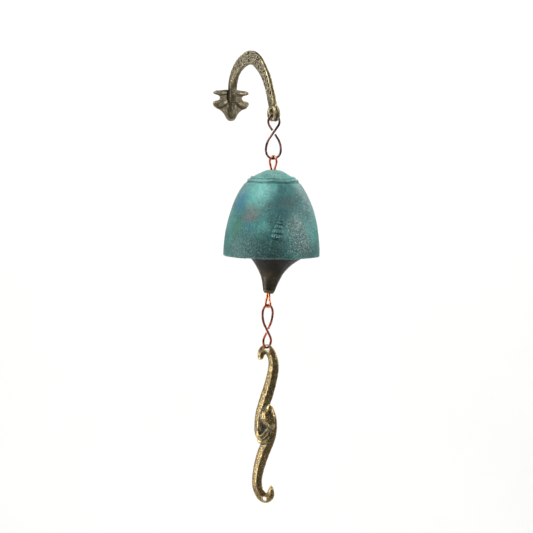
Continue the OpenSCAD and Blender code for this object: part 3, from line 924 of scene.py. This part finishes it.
def arm_shape():
    """The arched arm, with a groove down its outer face near the eye."""
    line = curve([[0, -d, z, depth, thick] for d, z, depth, thick in ARM], 1.0)
    path, depth, thick = line[:, :3], line[:, 3] / 2, line[:, 4] / 2
    way, across, _ = frames(path, np.array([1.0, 0, 0]))
    outward = np.cross(across, way)
    section = superellipse(48, 3.0)
    groove = ease(-path[:, 2], -20, -6) * (path[:, 1] < -60)
    notch = bump_at(section[:, 0] * 3.6, 0, 1.1) * (section[:, 1] > 0)
    out = depth[:, None] * section[:, 1] - groove[:, None] * notch
    return loft(path[:, None] + across[:, None] * (thick[:, None] * section[:, 0])[..., None]
                + outward[:, None] * out[..., None])


def leaf_shape():
    """The wall plate: a leaf with two lobes a side, an open screw notch between them, and a rounded edge; the
    mounds that dome the lobes are added in make_bracket.
    """
    right = [[0, 18], [8, 17.6], [15, 16.9], [20, 16.6], [23, 15.4], [24, 13.6], [22.2, 12.2],
             [18.4, 11.3], [15.8, 10.2], [14.9, 8], [15.8, 5.8], [18.4, 4.7], [22.0, 4.2], [24.2, 2.0],
             [23.6, -0.8], [20.6, -3.6], [14.6, -6.4], [9.6, -10.4], [6.6, -15.4], [3.8, -18.4], [0, -19.0]]
    left = [[-x, z] for x, z in right[-2:0:-1]]
    loop = np.array(right + left + right[:1])
    edge = curve(np.column_stack([loop, np.zeros(len(loop))]), 0.8)[:-1, :2]
    middle = np.array([0, 3.0])
    inward = np.roll(edge, -1, 0) - np.roll(edge, 1, 0)
    inward = np.stack([inward[:, 1], -inward[:, 0]], 1) / np.linalg.norm(inward, axis=1)[:, None]
    inward *= np.sign(((middle - edge) * inward).sum(1).mean())
    edge_rounding = [(0.9, 0.02), (0.1, 0.5), (0.0, 1.4), (0.25, 2.3), (0.9, 3.0)]  # inset, height off the wall
    rings = []
    for inset, y in edge_rounding:
        e = edge + inward * inset
        rings.append(np.stack([e[:, 0], np.full(len(e), -y), e[:, 1]], 1))
    n = len(edge)
    back, front = range(n - 1, -1, -1), range((len(rings) - 1) * n, len(rings) * n)
    return np.vstack(rings), bands(len(rings), n) + [tuple(back), tuple(front)]


def mound(at, size, turn=0.0):
    """An ellipsoid, turned in the wall's plane."""
    rows, columns = 20, 40
    v = np.linspace(0.02, math.pi - 0.02, rows)
    u = np.arange(columns) * 2 * math.pi / columns
    rings = np.stack([np.outer(np.sin(v), np.cos(u)), np.outer(np.sin(v), np.sin(u)),
                      np.outer(np.cos(v), np.ones(columns))], 2)
    return loft(spin((rings * size).reshape(-1, 3), np.array([0, 1.0, 0]), turn).reshape(rings.shape) + at)


def eye_shape():
    """The eye: a boss with a groove round its rim and a flared bore across the arm."""
    half, flare = EYE_T / 2, 1.1
    side = [[BORE_R, half - flare], [BORE_R + flare, half], [EYE_R - 1.0, half], [EYE_R - 0.1, half - 1.2],
            [EYE_R, 2.0], [EYE_R - 0.9, 0.8]]
    other = [[r, -z] for r, z in side]
    outline = side[2::-1] + [[BORE_R, 0]] + other + [[EYE_R - 1.2, 0]] + side[:2:-1]
    points, faces = revolve(even(outline, 0.5), 96)
    shift = ease(np.hypot(points[:, 0], points[:, 1]), BORE_R + 1, BORE_R)[:, None] * BORE_SHIFT
    return points[:, [2, 0, 1]] + EYE + shift, [f[::-1] for f in faces]


def make_bracket():
    keel = sweep([[0, -3.2, 22, 4.2, 3.2], [0, -3.6, 12, 4.4, 2.6], [0, -3.2, 0, 3.2, 1.7],
                  [0, -2.6, -10, 2.4, 1.3], [0, -2.2, -16, 1.4, 0.8]], (1, 0, 0), superellipse(24, 2))
    parts = [leaf_shape(), arm_shape(), eye_shape(), keel]
    for side in (-1, 1):
        parts.append(mound([side * 12.6, -2.3, 0.4], [9.0, 1.7, 4.4], side * 26))
        parts.append(mound([side * 12, -2.3, 13.4], [10, 1.3, 2.4], side * 3))
    parts.append(mound([0, -2.0, -8.0], [6.4, 1.9, 10.0]))
    skin = Skin(fused(join(*parts), 0.42))
    skin.smooth(8)
    p, normal = skin.co, skin.normals()
    y, z = p[:, 1], p[:, 2]
    on_arm = ease(-y, 7, 12)
    flank = ease(np.abs(normal[:, 0]), 0.55, 0.85)
    pitted = on_arm * flank * (1 - ease(-y, 96, 101) * ease(-z, -14, -2)) * ease(z, 0, 10)
    near, own = cells(stirred(p, 1.5, 0.5, (0, 5, 11)), 2.7)
    pit = ease(near, 0.56, 0.38) * ease(own, 0.10, 0.25)
    pit_depth, flow = 1.15, 0.30 * layers(p, 2.6, 3)
    skin.push(pitted * (-pit_depth * pit * (0.6 + 0.6 * own) + flow) + (1 - pitted) * 0.10 * layers(p, 3.2, 3)
              + 0.16 * layers(p, 13, 2))
    back = skin.co[:, 1] > -0.15  # the plate's back is flattened against the wall
    skin.co[back, 1] = np.minimum(skin.co[back, 1], 0) * 0.2
    skin.co[:, 1] = np.minimum(skin.co[:, 1], 0)
    skin.piece("bracket_casting", "bracket", "bracket_bronze", bracket_bronze(), hollow=0.7, edge=0.30, spread=2,
               pit=pitted * pit, flank=pitted, plate=1 - on_arm)


# ---- pull

# Middle line of the upper crook from its hole: [x, y, z, half width, half depth]; -y is the front.
CROOK = [[-7.2, 0, -13.6, 1.6, 1.4], [-7.3, 0, -12.4, 3.1, 2.3], [-7.1, 0, -8.6, 4.1, 3.0],
         [-5.8, 0, -4.6, 4.8, 3.1], [-2.2, 0, -1.3, 5.5, 3.1], [2.1, 0, -2.2, 5.9, 3.2],
         [5.7, 0, -7.4, 5.7, 3.6], [7.7, 0, -14, 5.8, 4.3], [7.9, 0, -24, 6.3, 4.8], [5.4, 0, -38, 6.7, 5.0],
         [1.0, 0, -54, 7.1, 5.2], [-3.0, 0.6, -66, 6.8, 5.2]]
KNOT = (0.2, -87.5)  # middle of the knot: x, z
LOWER_CROOK = [[-7.9, 0, -16.2, 0.7, 0.7], [-7.8, 0, -14.2, 1.8, 1.5], [-7.6, 0, -11.0, 3.2, 2.4],
               [-6.4, 0, -4.6, 5.2, 3.1], [-2.2, 0, -1.1, 6.0, 3.1], [2.4, 0, -2.0, 6.2, 3.2],
               [6.6, 0, -7.4, 6.0, 3.6], [9.0, 0, -14, 5.9, 4.3], [9.3, 0, -24, 5.9, 4.8],
               [6.9, 0, -38, 6.6, 5.0], [2.2, 0, -54, 7.2, 5.2], [-2.8, 0.6, -66, 6.8, 5.2]]
UPPER_TAIL = [[-6.2, 1.0, -75, 6.0, 5.0], [-7.6, 0.2, -85, 5.6, 4.8], [-8.2, -1.0, -93, 4.9, 4.5],
              [-7.6, -2.4, -98.4, 4.4, 4.2], [-5.6, -3.8, -101.8, 4.0, 3.9], [-2.4, -4.7, -102.0, 3.6, 3.5],
              [1.8, -4.8, -97.8, 3.4, 3.2], [5.0, -3.2, -91.5, 3.0, 2.4]]
LOWER_TAIL = [[6.0, 1.2, -102, 6.0, 5.0], [7.6, 0.6, -92, 5.8, 4.6], [7.4, -0.2, -82, 5.8, 4.0],
              [6.4, -0.8, -72, 4.2, 3.2], [5.4, -1.4, -66, 2.0, 2.0]]
LOBE = [[9.4, -1.2, -93.5, 2.0, 1.6], [7.0, -3.0, -89.0, 6.0, 3.8], [3.6, -4.0, -82.5, 9.0, 5.0],
        [2.6, -4.0, -76.5, 9.4, 5.2], [3.6, -3.2, -70.5, 7.0, 4.4], [5.4, -1.8, -65.0, 2.4, 2.2]]
FOLD = [[-7.6, 0.6, -106.0, 3.0, 3.0], [-4.4, -1.6, -108.0, 3.4, 3.4], [0.6, -2.6, -106.4, 3.2, 3.2],
        [5.0, -2.0, -101.0, 2.6, 2.6]]


def ridged(n, crisp=1.0):
    """Section with a ridge down the front and the back, and round sides."""
    t = np.arange(n) * 2 * math.pi / n
    x = np.cos(t)
    return np.stack([x, np.sign(np.sin(t)) * (1 - np.abs(x) ** crisp) ** 0.62], 1)


def half_turn(shape):
    """The shape turned half round about the knot, in the pull's own plane."""
    points, faces = shape
    return points * [-1, 1, -1] + [2 * KNOT[0], 0, 2 * KNOT[1]], faces


def to_upper(stations):
    """Stations of the lower crook in the frame where it is the upper one."""
    return [[2 * KNOT[0] - x, y, 2 * KNOT[1] - z, w, d] for x, y, z, w, d in stations]


def hole_cutter(r, bevel):
    """Cutter for a hole through the pull, bevelled at each face."""
    half, beyond, inner_r = 3.1, 4, 0.02
    lower = [[inner_r, -half - beyond], [r + bevel + beyond, -half - beyond], [r + bevel * 0.9, -half],
             [r + 0.25, -half + bevel * 0.6], [r, -half + bevel]]
    points, faces = revolve(lower + [[x, -z] for x, z in lower[::-1]], 64)
    return points[:, [0, 2, 1]], [f[::-1] for f in faces]


def make_pull():
    section = ridged(48)
    upper = bored(sweep(CROOK + UPPER_TAIL, (1, 0, 0), section), hole_cutter(3.0, 1.2))
    lower = sweep(LOWER_CROOK + to_upper(LOWER_TAIL), (1, 0, 0), section)
    lower = half_turn(bored(lower, hole_cutter(2.6, 0.8)))
    lobe = sweep(LOBE, (1, 0, 0), ridged(48, 1.5))
    back_lobe = half_turn(sweep([[x, -y, z, w, d] for x, y, z, w, d in LOBE], (1, 0, 0), section))
    fold = sweep(FOLD, (1, 0, 0), superellipse(24, 2))
    core = mound([-1.5, 0.6, -96], [8.0, 4.0, 12.0], 12)
    heel = mound([-6.3, -2.0, -89.0], [3.9, 3.6, 8.5], -6)
    skin = Skin(fused(join(upper, lower, lobe, back_lobe, fold, core, heel), 0.40))
    skin.smooth(3)
    p = skin.co
    skin.push(0.14 * layers(p, 7, 3) + 0.10 * layers(p, 1.8, 2))
    bend = skin.curvature(4)
    seam = np.clip(bend / 0.35, 0, 1) * bump_at(p[:, 2], KNOT[1], 28)
    pos, _ = JOINT["pull_swing"]
    hole_axis = -MOUNT["pull_eye"][1]
    turn = math.degrees(math.atan2(-hole_axis[0], hole_axis[1]))
    drop = pos[2] - (MOUNT["pull_eye"][0][2] - 2 * KNOT[1])
    skin.co = spin(p, UP, turn) + pos - [0, 0, drop]
    skin.piece("pull_casting", "pull", "pull_brass", pull_brass(), hollow=0.5, edge=0.28, spread=3, seam=seam)


VERDIGRIS = verdigris()
make_wires()
make_bell()
make_relief()
make_clapper()
make_washer()
make_bracket()
make_pull()

# ---- stage, light and camera

FLOOR_Z = -1.3
LEFT_OF_VIEW = math.radians(VIEW_TURN)
RIGHT = Vector((math.cos(LEFT_OF_VIEW), math.sin(LEFT_OF_VIEW), 0))  # image right in the main view
TOWARDS = Vector((math.sin(LEFT_OF_VIEW), -math.cos(LEFT_OF_VIEW), 0))  # from the bell to the camera
AXIS = Vector(PLUMB) * MM


def stage_material(name, colour):
    look = Look(name, 0.0, 0.9)
    paler = tuple(min(1, c * 1.02) for c in colour)
    return look.finish(Base_Color=look.ramp(look.noise(400, 2), (0.3, colour), (0.7, paler)))


def make_stage():
    """A pale floor that sweeps up far behind the bell, square to the main view."""
    near, far, bend_r, top, half = -4.0, 2.0, 1.2, 3.2, 3.6
    bend = [(far + bend_r * math.sin(a), bend_r - bend_r * math.cos(a))
            for a in np.radians(np.arange(6, 91, 6))]
    profile = [(near, 0.0), (far, 0.0)] + bend + [(far + bend_r, top)]
    points = [AXIS - TOWARDS * y + RIGHT * x + Vector((0, 0, FLOOR_Z + z))
              for x in (-half, half) for y, z in profile]
    n = len(profile)
    mesh = bpy.data.meshes.new("floor")
    mesh.from_pydata(points, [], [(k, n + k, n + k + 1, k + 1) for k in range(n - 1)])
    mesh.shade_smooth()
    mesh.materials.append(stage_material("pale_floor", (0.86, 0.86, 0.85)))
    floor = add_object("floor", mesh)


def add_light(name, side, rise, away, size, watts, colour=(1, 1, 1), aim=-0.2, back=0.0):
    """A soft light `side` degrees to the right of the camera and `rise` degrees up, `away` metres from its aim.

    Its aim is a point `aim` metres up the bell's axis and `back` metres behind it.
    """
    data = bpy.data.lights.new(name, "AREA")
    data.shape = "RECTANGLE"
    data.size, data.size_y = size
    data.energy = watts
    data.color = colour
    lamp = add_object(name, data)
    s, r = math.radians(side), math.radians(rise)
    goal = AXIS + Vector((0, 0, aim)) - TOWARDS * back
    way = (TOWARDS * math.cos(s) + RIGHT * math.sin(s)) * math.cos(r) + Vector((0, 0, math.sin(r)))
    lamp.location = goal + way * away
    lamp.rotation_euler = (-way).to_track_quat("-Z", "Y").to_euler()


def make_light():
    add_light("key", side=-42, rise=56, away=1.9, size=(1.0, 1.0), watts=36, colour=(1.0, 0.98, 0.95))
    add_light("left_card", side=-82, rise=-2, away=1.5, size=(0.7, 0.7), watts=19, aim=-0.42)
    add_light("right_strip", side=70, rise=16, away=1.6, size=(0.2, 0.5), watts=15, aim=-0.10)
    add_light("right_rim", side=128, rise=20, away=1.5, size=(0.4, 0.6), watts=6, aim=-0.05)
    for side in (-62, 62):
        add_light("backdrop", side=side, rise=40, away=2.2, size=(1.0, 1.0), watts=30, aim=-0.3, back=2.6)
    world = bpy.data.worlds.new("studio")
    world.use_nodes = True
    sky = world.node_tree.nodes["Background"].inputs
    sky["Color"].default_value = (0.95, 0.97, 1.0, 1)
    sky["Strength"].default_value = 0.10
    bpy.context.scene.world = world


def make_camera():
    """The main view: from in front of the wall and to its left, a little above the bell."""
    distance, height, lens, roll, aim_z, aim_left = 1.9, -0.030, 112.6, 1.04, -0.1845, 0.0054
    place = AXIS + TOWARDS * distance
    place.z = height
    aim = AXIS + Vector((0, 0, aim_z)) - RIGHT * aim_left
    data = bpy.data.cameras.new("camera")
    data.lens = lens
    data.clip_end = 50
    camera = add_object("camera", data)
    facing = (aim - place).to_track_quat("-Z", "Y").to_matrix().to_4x4()
    camera.matrix_world = Matrix.Translation(place) @ facing @ Matrix.Rotation(math.radians(roll), 4, "Z")
    bpy.context.scene.camera = camera


make_stage()
make_light()
make_camera()
bpy.context.scene.view_settings.view_transform = "Standard"
